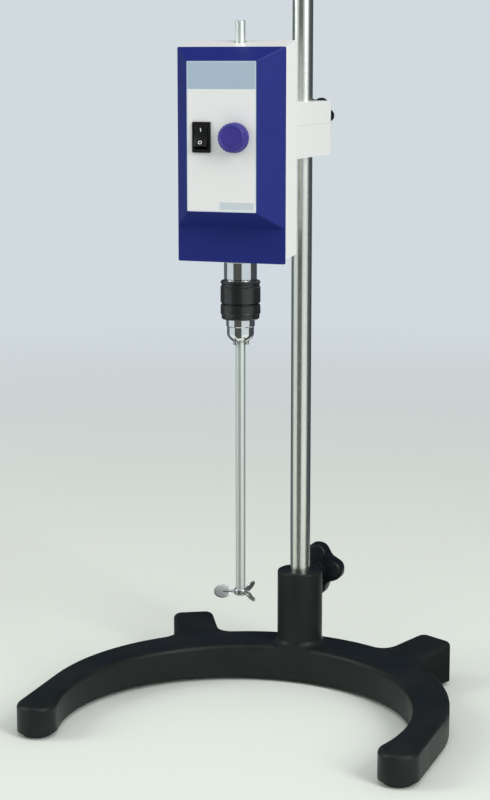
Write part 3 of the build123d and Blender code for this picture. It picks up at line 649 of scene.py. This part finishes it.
class STIRRER_OT_rocker(bpy.types.Operator):
    """Add the curved rocker of the mains switch with its two marks"""

    bl_idname = "stirrer.rocker"
    bl_label = "Switch rocker"

    def execute(self, context):
        half_x, half_z = 5.4 * MM, 8.2 * MM
        waist, rise = 5.0 * MM, 2.5 * MM
        tilt = radians(-9.0)
        pivot = Vector((ROCKER.x, PANEL_FRONT + 3 * MM, ROCKER.z))
        mark_z, mark_h = 5.0 * MM, 2.8 * MM

        def front(z):
            """The paddle's hollow face, as a place along Y."""
            return -waist - rise * (abs(z) / half_z) ** 1.4

        rocker = block("rocker_paddle", (-half_x, -waist, -half_z), (half_x, 0, half_z))
        shape(rocker)
        rows = 10
        for row in range(1, rows):
            bpy.ops.mesh.select_all(action="SELECT")
            bpy.ops.mesh.bisect(plane_co=(0, 0, half_z * (2 * row / rows - 1)),
                                plane_no=(0, 0, 1))
        for row in range(rows + 1):
            z = half_z * (2 * row / rows - 1)
            pick("VERT", lambda co, n: abs(co.z - z) < 0.1 * MM and co.y < -4 * MM)
            bpy.ops.transform.translate(value=(0, front(z) - front(0), 0))
        leave()
        round_edges(rocker, 0.45 * MM, 3)
        lean = atan2(front(mark_z - mark_h / 2) - front(mark_z + mark_h / 2), mark_h)
        bar = block("mark_on", (-0.35 * MM, -0.12 * MM, -mark_h / 2), (0.35 * MM, 0.3 * MM, mark_h / 2))
        hoop = begin("mark_off", bpy.ops.mesh.primitive_torus_add, major_radius=1.3 * MM,
                     minor_radius=0.32 * MM, major_segments=32, minor_segments=8,
                     rotation=(radians(90), 0, 0))
        for mark, side in ((bar, 1), (hoop, -1)):
            put(mark, Matrix.Translation((0, front(mark_z), side * mark_z)),
                Matrix.Rotation(side * lean, 4, "X"))
        place = (Matrix.Translation(pivot), Matrix.Rotation(tilt, 4, "X"))
        for piece, finish in ((rocker, "switch"), (bar, "print"), (hoop, "print")):
            put(piece, *place)
            complete(piece, "rocker", finishes[finish])
        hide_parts("switch_rocker")
        return {"FINISHED"}


class STIRRER_OT_chuck_sleeves(bpy.types.Operator):
    """Add the chuck's two black sleeves with their diamond knurl"""

    bl_idname = "stirrer.chuck_sleeves"
    bl_label = "Chuck sleeves"

    def holding(self, r, height):
        """The upper, fixed sleeve: knurled band, ends under and over it, and lip into the lower sleeve."""
        band = (1.6 * MM, height - 8.2 * MM)
        lip = [(r - 3.6 * MM, -0.6 * MM), (r - 1.9 * MM, -0.6 * MM), (r - 1.9 * MM, 0)]
        lower = [(r - 0.9 * MM, 0), (r - 0.15 * MM, 0.7 * MM)]
        upper = [(r, height - 7.4 * MM), (r, height - 5.2 * MM), (r - 0.7 * MM, height - 4.6 * MM),
                 (r - 0.7 * MM, height - 2.6 * MM), (r - 0.1 * MM, height - 2.0 * MM),
                 (r - 0.1 * MM, height - 0.9 * MM), (r - 1.0 * MM, height)]
        return band, lip + lower, upper

    def turning(self, r, height):
        """The lower sleeve, which opens the jaws: knurled band, and ends under and over it."""
        band = (4.8 * MM, height - 1.8 * MM)
        lower = [(r - 3.6 * MM, 0), (r - 1.8 * MM, 0), (r - 0.8 * MM, 0.9 * MM), (r - 0.8 * MM, 3.4 * MM)]
        upper = [(r - 0.15 * MM, height - 0.7 * MM), (r - 0.9 * MM, height)]
        return band, lower, upper

    def knurl(self, low, high):
        """Push every other corner of a band inwards."""
        depth = sizes().knurl_depth
        r = sizes().sleeve_radius
        step = 2 * pi / TURNED_STEPS

        def odd(co):
            """Whether a corner is pushed in, as on a chessboard."""
            turn = round(atan2(co.y, co.x) / step)
            row = round((co.z - low) / MM)
            return (turn + row) % 2 == 1

        squeeze(lambda co, n: low < co.z < high and co.xy.length > r - 0.2 * MM and odd(co),
                (r - depth) / r)

    def execute(self, context):
        r = sizes().sleeve_radius
        for node, body, profile in (("chuck_holding_sleeve", "spindle_set", self.holding),
                                    ("chuck_sleeve", "sleeve", self.turning)):
            low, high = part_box(node)
            height = high.z - low.z
            (start, end), lower, upper = profile(r, height)
            rows = int((end - start) / MM)
            band = [(r, start + row * MM) for row in range(rows + 1)]
            outline = [*lower, *band, *upper, (r - 3.6 * MM, height)]
            piece = turned(f"{node}_knurled", outline, TURNED_STEPS, ring=True)
            shape(piece)
            self.knurl(start + 0.2 * MM, start + rows * MM - 0.2 * MM)
            leave()
            put(piece, on_spindle(low.z))
            complete(piece, body, finishes["knurl"], 25)
            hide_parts(node)
        return {"FINISHED"}


class STIRRER_OT_chuck_body(bpy.types.Operator):
    """Add the chuck's turned body: collar, core, and a nose with three bores for the jaws"""

    bl_idname = "stirrer.chuck_body"
    bl_label = "Chuck body"

    def bore(self, body, index):
        """Bore the body along a jaw's own slanted axis, with room for the jaw's travel."""
        jaw_l, travel, below = 14 * MM, 5 * MM, 2 * MM
        bore_r = 2.25 * MM
        lean = Matrix.Rotation(radians(120 * index), 4, "Z") @ Matrix.Rotation(radians(14), 4, "Y")
        jaw = frame["nodes"][f"jaw_{index + 1}"].data
        upright = [lean.inverted() @ corner.co for corner in jaw.vertices]
        (left, right), (front, back), (foot, _) = [(min(axis), max(axis)) for axis in zip(*upright)]
        axis_foot = Vector([(left + right) / 2, (front + back) / 2, foot])
        depth = below + jaw_l + travel
        hole = begin("jaw_bore", bpy.ops.mesh.primitive_cylinder_add, vertices=48, radius=bore_r,
                     depth=depth, location=(0, 0, depth / 2 - below))
        put(hole, lean, Matrix.Translation(axis_foot))
        cut(body, hole)

    def execute(self, context):
        low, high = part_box("chuck_body")
        collar_r = (high.x - low.x) / 2
        collar_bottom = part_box("chuck_holding_sleeve")[1].z + 0.8 * MM
        nose_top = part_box("chuck_sleeve")[0].z
        core_r = sizes().sleeve_radius - 3.75 * MM
        nose_r, tip_r, bore_r = 11.0 * MM, 7.4 * MM, 4.3 * MM
        shoulder_r = nose_r + 0.7 * MM
        shoulder = nose_top - 5.6 * MM
        seat_r = 6.5 * MM
        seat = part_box("spindle")[0].z
        tip = low.z + 2.4 * MM
        edge = 0.6 * MM
        outline = [(bore_r, tip), (tip_r - edge, tip), (tip_r, tip + 0.4 * MM),
                   (tip_r + 1.9 * MM, tip + 2.2 * MM), (nose_r - 0.7 * MM, tip + 3.8 * MM),
                   (nose_r - 0.2 * MM, tip + 4.7 * MM), (nose_r, tip + 5.6 * MM), (nose_r, tip + 6.0 * MM),
                   (nose_r, shoulder - 1.0 * MM), (nose_r, shoulder - 0.7 * MM), (shoulder_r, shoulder),
                   (shoulder_r, shoulder + 0.3 * MM), (shoulder_r, nose_top - 0.5 * MM),
                   (shoulder_r - 0.5 * MM, nose_top), (core_r, nose_top + edge),
                   (core_r, collar_bottom), (collar_r - edge, collar_bottom),
                   (collar_r, collar_bottom + edge), (collar_r, high.z - edge),
                   (collar_r - edge, high.z), (seat_r, high.z), (seat_r, seat), (bore_r, seat)]
        body = turned("chuck_body_turned", outline, TURNED_STEPS, ring=True)
        put(body, on_spindle())
        for index in range(3):
            self.bore(body, index)
        complete(body, "spindle_set", finishes["chrome"], 30)
        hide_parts("chuck_body")
        return {"FINISHED"}


class STIRRER_OT_propeller(bpy.types.Operator):
    """Add the propeller: a hub with three cupped blades on thin arms"""

    bl_idname = "stirrer.propeller"
    bl_label = "Propeller"

    def blade(self):
        """One blade along +X, cupped by pulling its rim back."""
        length, chord = sizes().blade_length, sizes().blade_height
        obj = begin("propeller_blade", bpy.ops.mesh.primitive_circle_add, vertices=40, radius=0.5,
                    fill_type="NGON", location=(0, 0, 0))
        shape(obj)
        for scale, drop in ((0.8, 0.10), (0.72, 0.09), (0.6, 0.06)):
            bpy.ops.mesh.select_all(action="SELECT")
            pick("FACE", lambda co, n: co.length < 0.02)
            bpy.ops.mesh.inset(thickness=0.0001)
            bpy.ops.transform.resize(value=(scale, scale, 1), center_override=(0, 0, 0))
            bpy.ops.transform.translate(value=(0, 0, drop))
        leave()
        obj.scale = (length, chord, 1.6 * MM)
        alone(obj)
        bpy.ops.object.transform_apply(location=True, rotation=True, scale=True)
        wall = obj.modifiers.new("Wall", "SOLIDIFY")
        wall.thickness = 0.9 * MM
        wall.offset = 0
        bpy.ops.object.modifier_apply(modifier=wall.name)
        return round_edges(obj, 0.25 * MM, 2, 60)

    def hub(self, low):
        """The hub: a cap round the shaft's end, from a height upwards."""
        r, bore, eye = 5.5 * MM, 4.05 * MM, 1.0 * MM
        seat = low + 1.7 * MM
        outline = [(eye, low), (r - 1.2 * MM, low + 0.1 * MM), (r - 0.3 * MM, low + 0.8 * MM),
                   (r, low + 1.6 * MM), (r, low + 4.6 * MM), (r - 0.5 * MM, low + 5.5 * MM),
                   (bore, low + 6.0 * MM), (bore, seat), (eye, seat)]
        return put(turned("propeller_hub", outline, 48), on_spindle())

    def execute(self, context):
        hub_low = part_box("stirring_shaft")[0].z - 1.6 * MM
        first_turn = 200.5  # degrees, which sets the blades as the photograph shows them
        tip_r = 22.4 * MM
        hub = self.hub(hub_low)
        blade = self.blade()
        reach = tip_r - sizes().blade_length / 2
        put(blade, Matrix.Translation((reach, 0, 0)), Matrix.Rotation(sizes().blade_pitch, 4, "X"))
        arm = begin("propeller_arm", bpy.ops.mesh.primitive_cylinder_add, vertices=20, radius=1.2 * MM,
                    depth=10 * MM, location=(9.6 * MM, 0, 0), rotation=(0, radians(90), 0))
        round_edges(arm, 0.3 * MM, 2)
        blade = joined("propeller_blade", blade, arm)
        parts = [hub]
        for index in range(3):
            turn = Matrix.Rotation(radians(first_turn + 120 * index), 4, "Z")
            parts.append(copied(blade, f"propeller_blade_{index + 1}", on_spindle(hub_low + 3 * MM), turn))
        bpy.data.objects.remove(blade, do_unlink=True)
        propeller = joined("propeller_turned", *parts)
        complete(propeller, "shaft", finishes["blade"], 40)
        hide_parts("propeller")
        return {"FINISHED"}


class STIRRER_OT_star_grips(bpy.types.Operator):
    """Add the moulded star grips of the two clamps"""

    bl_idname = "stirrer.star_grips"
    bl_label = "Clamp grips"

    def grip(self, name, node, body, lobes, hub_h, hub_r, valley, screw_r):
        """A turned head on a hub, pressed in between its lobes by a share of its radius."""
        low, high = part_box(node)
        length = high.y - low.y
        r = 0.5 * max(high.x - low.x, high.z - low.z)
        recess = 0.9 * MM
        lobe_steps = 24
        outline = [(screw_r + 0.4 * MM, 0), (hub_r - 0.6 * MM, 0), (hub_r, 0.6 * MM),
                   (hub_r * 0.93, hub_h * 0.6), (hub_r * 1.12, hub_h - 0.4 * MM),
                   (r - 3.4 * MM, hub_h + 0.6 * MM), (r - 1.2 * MM, hub_h + 1.6 * MM),
                   (r, hub_h + 3.2 * MM), (r, length - 4.6 * MM), (r - 0.9 * MM, length - 2.2 * MM),
                   (r - 2.8 * MM, length - 0.8 * MM), (r - 5.6 * MM, length - 0.1 * MM),
                   (r * 0.36, length), (r * 0.34, length - recess), (r * 0.05, length - recess)]
        rings = ((r - 6.2 * MM, r - 2.2 * MM, 0.72), (r - 2.2 * MM, r + MM, 1.0))
        obj = turned(name, outline, lobe_steps * lobes)
        shape(obj)
        turn = 2 * pi / lobes
        for step in range(lobe_steps // 2 + 1):
            away = step / lobe_steps
            depth = valley * (0.5 - 0.5 * cos(2 * pi * away)) ** 1.5

            def on_spoke(co):
                """Whether a corner of the head is this far round from the middle of a lobe."""
                phase = abs((atan2(co.y, co.x) / turn + 0.5) % 1 - 0.5)
                return abs(phase - away) < 0.01 and co.z > hub_h + 0.5 * MM

            if depth > 0.001:
                for inner, outer, share in rings:
                    squeeze(lambda co, n: on_spoke(co) and inner < co.xy.length < outer, 1 - depth * share)
        leave()
        put(obj, at_node(low, high), BACK)
        complete(obj, body, finishes["grip"], 50)
        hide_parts(node)

    def execute(self, context):
        self.grip("base_clamp_grip", "base_clamp_knob", "base_clamp",
                  lobes=4, hub_h=11 * MM, hub_r=9 * MM, valley=0.31, screw_r=4 * MM)
        self.grip("head_clamp_grip", "head_clamp_knob", "head_clamp",
                  lobes=6, hub_h=5 * MM, hub_r=6.5 * MM, valley=0.20, screw_r=3 * MM)
        return {"FINISHED"}


class STIRRER_OT_pads(bpy.types.Operator):
    """Add the four rubber pads with their beads"""

    bl_idname = "stirrer.pads"
    bl_label = "Rubber pads"

    def rear_x(self, r):
        """How far a rear pad's centre lies from the middle."""
        corners = frame["nodes"]["base_feet"].data.vertices
        return max(corner.co.x for corner in corners if corner.co.y > 0) - r

    def execute(self, context):
        low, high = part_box("base_feet")
        r = 12.5 * MM
        top = high.z
        outline = [(r * 0.25, 1.2 * MM), (r * 0.55, 1.2 * MM), (r * 0.6, 0.0), (r - 1.2 * MM, 0.0),
                   (r - 0.3 * MM, 0.6 * MM), (r, 1.4 * MM), (r, 2.3 * MM), (r - 0.5 * MM, 2.8 * MM),
                   (r - 0.5 * MM, 3.2 * MM), (r - 0.1 * MM, 3.6 * MM), (r - 0.1 * MM, top - 0.1 * MM),
                   (r * 0.3, top - 0.1 * MM)]
        pad = turned("pad", outline, 48)
        places = [(side * (high.x - r), low.y + r) for side in (-1, 1)]
        places += [(side * self.rear_x(r), high.y - r) for side in (-1, 1)]
        pads = [copied(pad, f"pad_{index + 1}", Matrix.Translation((x, y, 0)))
                for index, (x, y) in enumerate(places)]
        bpy.data.objects.remove(pad, do_unlink=True)
        pads = joined("rubber_pads", *pads)
        complete(pads, "stand", finishes["rubber"])
        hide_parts("base_feet")
        return {"FINISHED"}


class STIRRER_OT_clamp_screws(bpy.types.Operator):
    """Add the threaded screws of the two clamps"""

    bl_idname = "stirrer.clamp_screws"
    bl_label = "Clamp screws"

    def screw(self, name, node, body, pitch):
        """A screw with a domed point and ridges at its pitch."""
        low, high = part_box(node)
        r = (high.x - low.x) / 2
        length = high.y - low.y
        root = r - 0.55 * pitch
        crest = r - 0.02 * MM
        point = 0.35 * r
        outline = [(r * 0.3, 0), (r * 0.62, 0.05 * MM), (root, point)]
        for turn in range(int((length - point - 2 * MM) / pitch)):
            start = point + turn * pitch
            outline += [(root, start + 0.15 * pitch), (crest, start + 0.45 * pitch),
                        (crest, start + 0.6 * pitch), (root, start + 0.9 * pitch)]
        outline += [(root, length - 0.5 * MM), (r * 0.3, length)]
        screw = turned(name, outline, 40)
        put(screw, at_node(low, high), BACK)
        complete(screw, body, finishes["zinc"], 50)
        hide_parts(node)

    def execute(self, context):
        self.screw("base_clamp_thread", "base_clamp_screw", "base_clamp", 1.25 * MM)
        self.screw("head_clamp_thread", "head_clamp_screw", "head_clamp", 1.0 * MM)
        return {"FINISHED"}


class STIRRER_OT_cover_screws(bpy.types.Operator):
    """Add the cross-head screws behind the casing"""

    bl_idname = "stirrer.cover_screws"
    bl_label = "Cover screws"

    def execute(self, context):
        low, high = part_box("cover_screws")
        head_r, head_h, shank_r = 3.0 * MM, 1.8 * MM, 1.45 * MM
        length = high.y - low.y
        slot_half_l, slot_half_w, slot_depth = 1.7 * MM, 0.35 * MM, 1.1 * MM
        outline = [(shank_r * 0.3, 0), (shank_r * 0.5, 0.05 * MM), (shank_r, 2.0 * MM),
                   (shank_r, length - head_h), (head_r - 0.1 * MM, length - head_h),
                   (head_r, length - head_h + 0.3 * MM),
                   (head_r, length - 0.9 * MM), (head_r - 0.5 * MM, length - 0.35 * MM),
                   (head_r * 0.45, length - 0.05 * MM), (head_r * 0.1, length)]
        screw = turned("cover_screw", outline, 32)
        for index in range(2):
            slot = block("recess", (-slot_half_l, -slot_half_w, length - slot_depth),
                         (slot_half_l, slot_half_w, length + MM))
            put(slot, Matrix.Rotation(radians(90 * index + 20), 4, "Z"))
            cut(screw, slot)
        heights = (low.z + head_r, high.z - head_r)
        places = [(side * (high.x - head_r), z) for z in heights for side in (-1, 1)]
        screws = []
        for index, (x, z) in enumerate(places):
            spin = Matrix.Rotation(radians(37 * index), 4, "Z")
            screws.append(copied(screw, f"cover_screw_{index + 1}",
                                 Matrix.Translation((x, low.y, z)), BACK, spin))
        bpy.data.objects.remove(screw, do_unlink=True)
        screws = joined("cover_cross_screws", *screws)
        complete(screws, "head", finishes["zinc"])
        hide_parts("cover_screws")
        return {"FINISHED"}


class STIRRER_OT_cable_gland(bpy.types.Operator):
    """Add the cable gland with its nut and ribbed boot, open for the lead"""

    bl_idname = "stirrer.cable_gland"
    bl_label = "Cable gland"

    def execute(self, context):
        low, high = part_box("cable_gland")
        bore, neck_r = 3.6 * MM, 5.0 * MM
        wall = 2.5 * MM
        nut_h = 6 * MM
        groove = 0.9 * MM
        end = high.y - low.y
        nut_r = (high.x - low.x) / 2
        boot_r = 0.8 * nut_r
        nut = begin("gland_nut", bpy.ops.mesh.primitive_cylinder_add, vertices=6, radius=nut_r,
                    depth=nut_h, location=(0, 0, wall + nut_h / 2))
        round_edges(nut, 0.5 * MM, 3)
        hole = begin("hole", bpy.ops.mesh.primitive_cylinder_add, vertices=48, radius=neck_r,
                     depth=3 * nut_h, location=(0, 0, wall + nut_h / 2))
        cut(nut, hole)
        ribs = sizes().boot_ribs
        start = wall + nut_h
        outline = [(bore, 0), (neck_r, 0), (neck_r, start), (boot_r, start + 0.2 * MM),
                   (boot_r, start + 1.4 * MM)]
        pitch = (end - start - 1.8 * MM) / ribs
        for rib in range(ribs):
            z = start + 1.6 * MM + rib * pitch
            r = boot_r - rib * 0.1 * MM
            outline += [(r - groove, z), (r - groove, z + 0.35 * pitch), (r, z + 0.45 * pitch),
                        (r, z + 0.9 * pitch)]
        outline += [(5.1 * MM, end - 0.1 * MM), (4.6 * MM, end), (bore, end)]
        boot = turned("gland_boot", outline, 48, ring=True)
        gland = joined("cable_gland_boot", boot, nut)
        put(gland, at_node(low, high), BACK)
        complete(gland, "head", finishes["grip"])
        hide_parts("cable_gland")
        return {"FINISHED"}


class STIRRER_OT_stage(bpy.types.Operator):
    """Add the floor, the lamps, the surroundings and the camera"""

    bl_idname = "stirrer.stage"
    bl_label = "Studio"

    def lamp(self, name, place, aim, size, power):
        """A soft box at a place, turned to what it lights."""
        bpy.ops.object.select_all(action="DESELECT")
        bpy.ops.object.light_add(type="AREA", location=place)
        lamp = bpy.context.object
        lamp.name = name
        lamp.data.shape = "RECTANGLE"
        lamp.data.size, lamp.data.size_y = size
        lamp.data.energy = power
        lamp.rotation_euler = (Vector(aim) - Vector(place)).to_track_quat("-Z", "Y").to_euler()

    def floor(self):
        """A matt floor that runs on into the backdrop's colour."""
        floor = begin("studio_floor", bpy.ops.mesh.primitive_plane_add, size=24)
        f = Finish("studio_floor")
        x, y, _ = f.split(f.place())
        away = f.math("SQRT", x * x + y * y)
        far = f.ramp(away * 0.25, (0.16, 0.0), (0.62, 1.0))  # from 0.64 m to 2.48 m away
        near = colours().floor
        matt = f.node("ShaderNodeBsdfPrincipled", values={
            "Base Color": f.mix(f.noise(9, 3) * 0.2, near, [part * 0.97 for part in near]),
            "Roughness": 0.8, "Specular IOR Level": 0.0})
        mixed = f.node("ShaderNodeMixShader", values={0: far, 1: matt, 2: f.glow(colours().backdrop)})
        f.node("ShaderNodeOutputMaterial", values={0: mixed})
        floor.data.materials.append(f.material)

    def surroundings(self):
        """A pale backdrop for camera, gloss and glass, and a soft even light for the rest."""
        world = bpy.data.worlds.new("studio_world")
        bpy.context.scene.world = world
        f = Finish("studio_world", world)
        paths = f.node("ShaderNodeLightPath").socket.node.outputs
        seen = [Value(f, paths[name]) for name in ("Is Camera Ray", "Is Glossy Ray", "Is Transmission Ray")]
        direct = f.math("MAXIMUM", f.math("MAXIMUM", seen[0], seen[1]), seen[2])
        colour = f.mix(direct, (0.47, 0.48, 0.48), colours().backdrop)
        background = f.node("ShaderNodeBackground", values={"Color": colour, "Strength": 1.0})
        f.node("ShaderNodeOutputWorld", values={0: background})

    def run_on(self, side, height, away, inner):
        """Carry a card's edge on level towards the stirrer, up to a distance from the middle."""
        pick("EDGE", lambda middle, way: abs(middle.z - height) < MM)
        inward = Vector((-cos(side), -sin(side), 0)) * (away - inner)
        bpy.ops.mesh.extrude_region_move(TRANSFORM_OT_translate={"value": inward})
        bpy.ops.transform.resize(value=(inner / away, inner / away, 1),
                                 center_override=(inner * cos(side), inner * sin(side), height))

    def card(self, name, turn, half_turn, tone, away=0.95, high=1.3, foot=0.16, roof=None):
        """A dark card that only gloss can see, at an angle to the right of the camera."""
        low = 2 * MM
        width = 2 * away * tan(radians(half_turn))
        side = radians(CAMERA_TURN - 90 + turn)
        card = begin(name, bpy.ops.mesh.primitive_plane_add, size=1)
        card.scale = (width, high - low, 1)
        card.rotation_euler = (radians(90), 0, side + radians(90))
        card.location = (away * cos(side), away * sin(side), (low + high) / 2)
        bpy.ops.object.transform_apply(location=True, rotation=True, scale=True)
        shape(card)
        self.run_on(side, low, away, foot)
        if roof:
            self.run_on(side, high, away, roof)
        bpy.ops.object.mode_set(mode="OBJECT")
        f = Finish(name)
        f.node("ShaderNodeOutputMaterial", values={0: f.glow(tone)})
        card.data.materials.append(f.material)
        card.visible_camera = False
        card.visible_diffuse = False
        card.visible_transmission = False
        card.visible_shadow = False

    def camera(self):
        """The camera, where the photograph was taken."""
        bpy.ops.object.select_all(action="DESELECT")
        bpy.ops.object.camera_add(location=CAMERA_PLACE,
                                  rotation=(radians(CAMERA_TILT), 0, radians(CAMERA_TURN)))
        camera = bpy.context.object
        camera.data.sensor_width = SENSOR
        camera.data.lens = FOCAL_PIXELS * SENSOR / IMAGE_HEIGHT
        camera.data.clip_end = 60
        bpy.context.scene.camera = camera

    def execute(self, context):
        context.scene.view_settings.view_transform = "Standard"
        self.floor()
        self.surroundings()
        stirrer = (0, 0, 0.35)
        self.lamp("left_softbox", (-2.4, -1.1, 1.7), stirrer, (1.2, 1.9), 31)
        self.lamp("right_softbox", (2.4, -1.3, 1.8), stirrer, (1.0, 1.9), 54)
        self.lamp("top_softbox", (0.4, -0.8, 2.5), (0, 0, 0.3), (1.6, 1.2), 9)
        self.card("dark_card_front", -21, 28, (0.08, 0.085, 0.075))
        self.card("dark_card_right", 101, 28, (0.06, 0.07, 0.075))
        self.card("dark_card_left", -131, 28, (0.10, 0.13, 0.14))
        self.card("blue_card_back", 165, 62, (0.03, 0.05, 0.10), 1.9, 3.4, foot=0.5, roof=0.1)
        self.camera()
        return {"FINISHED"}


class STIRRER_PT_sidebar(bpy.types.Panel):
    """Stirrer"""

    bl_idname = "STIRRER_PT_sidebar"
    bl_label = "Overhead stirrer"
    bl_space_type = "VIEW_3D"
    bl_region_type = "UI"
    bl_category = "Stirrer"

    def draw(self, context):
        settings = context.scene.stirrer
        for title, group in (("Sizes", settings.sizes), ("Colours", settings.colours)):
            box = self.layout.box()
            box.label(text=title)
            for name in group.__annotations__:
                box.prop(group, name)
        for step in STEPS:
            self.layout.operator(step.bl_idname)


STEPS = (
    STIRRER_OT_finishes,
    STIRRER_OT_speed_knob,
    STIRRER_OT_rocker,
    STIRRER_OT_chuck_sleeves,
    STIRRER_OT_chuck_body,
    STIRRER_OT_propeller,
    STIRRER_OT_star_grips,
    STIRRER_OT_pads,
    STIRRER_OT_clamp_screws,
    STIRRER_OT_cover_screws,
    STIRRER_OT_cable_gland,
    STIRRER_OT_stage,
)
CLASSES = (StirrerSizes, StirrerColours, StirrerSettings, *STEPS, STIRRER_PT_sidebar)


def register():
    for kind in CLASSES:
        bpy.utils.register_class(kind)
    bpy.types.Scene.stirrer = bpy.props.PointerProperty(type=StirrerSettings)


def unregister():
    del bpy.types.Scene.stirrer
    for kind in reversed(CLASSES):
        bpy.utils.unregister_class(kind)


def main():
    """Make the whole scene."""
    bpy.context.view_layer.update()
    register()
    bpy.ops.stirrer.finishes()
    bpy.ops.stirrer.speed_knob()
    bpy.ops.stirrer.rocker()
    bpy.ops.stirrer.chuck_sleeves()
    bpy.ops.stirrer.chuck_body()
    bpy.ops.stirrer.propeller()
    bpy.ops.stirrer.star_grips()
    bpy.ops.stirrer.pads()
    bpy.ops.stirrer.clamp_screws()
    bpy.ops.stirrer.cover_screws()
    bpy.ops.stirrer.cable_gland()
    bpy.ops.stirrer.stage()


if __name__ == "__main__":
    main()
